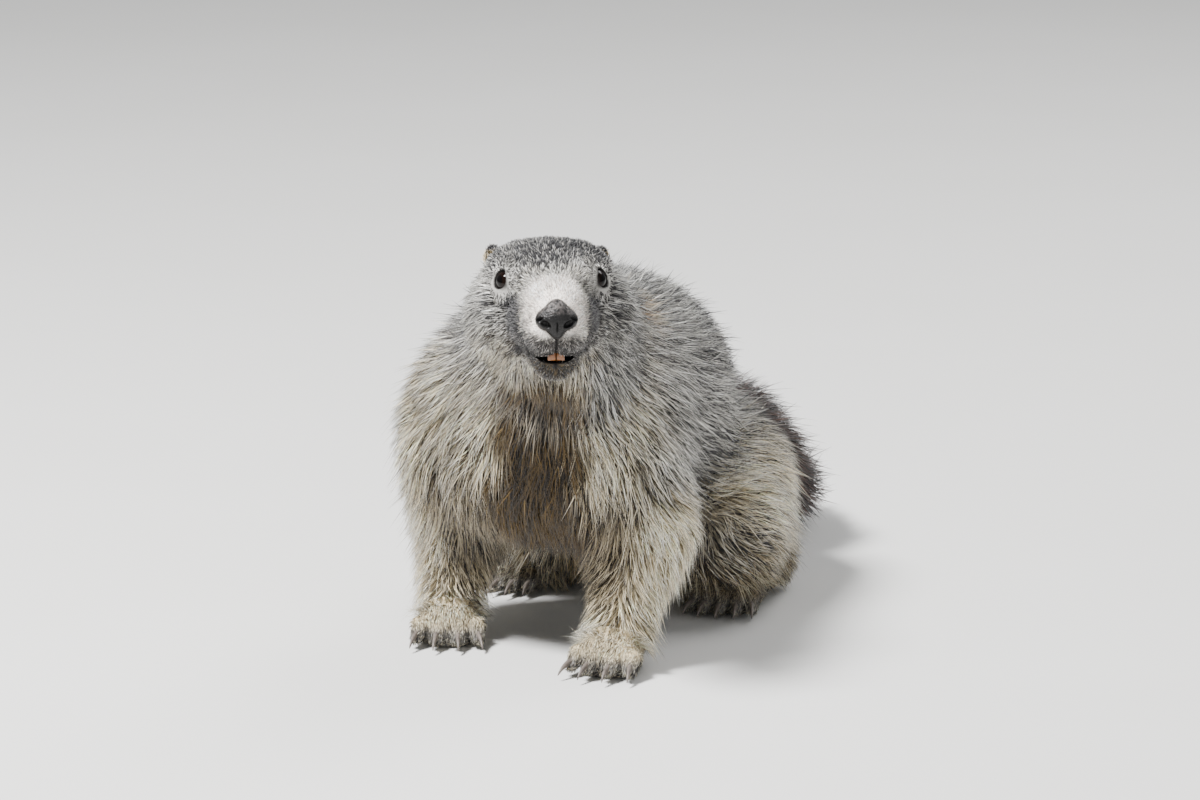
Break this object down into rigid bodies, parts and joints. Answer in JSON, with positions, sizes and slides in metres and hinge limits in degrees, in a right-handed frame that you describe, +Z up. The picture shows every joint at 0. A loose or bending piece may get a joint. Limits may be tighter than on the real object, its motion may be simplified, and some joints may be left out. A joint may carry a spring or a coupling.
{
  "type": "alpine marmot model",
  "caption": "Life-size alpine marmot, propped on straight forelegs with its haunches low and its head turned to one side, in thick grizzled fur.",
  "frame": {"origin": "on the floor, below the middle of the animal's bounding box", "axes": "+Z up; the spine runs along Y with the nose towards -Y and the tail towards +Y; +X is the animal's left"},
  "size_m": [0.1816, 0.478, 0.2305],
  "materials": {
    "fur": "thick grizzled fur, matt",
    "paw": "short pale fur over dark skin, with horn claws",
    "nose": "moist bare skin",
    "eye": "wet and glossy",
    "tooth": "smooth orange enamel"
  },
  "bodies": {
    "root": {"head": "fur", "nose": "nose", "ear_left": "fur", "ear_right": "fur", "eye_left": "eye", "eye_right": "eye", "incisor_left": "tooth", "incisor_right": "tooth", "neck": "fur", "torso": "fur", "tail": "fur", "foreleg_left": "fur", "foreleg_right": "fur", "hindleg_left": "fur", "hindleg_right": "fur", "forepaw_left": "paw", "forepaw_right": "paw", "hindfoot_left": "paw", "hindfoot_right": "paw"}
  },
  "joints": []
}
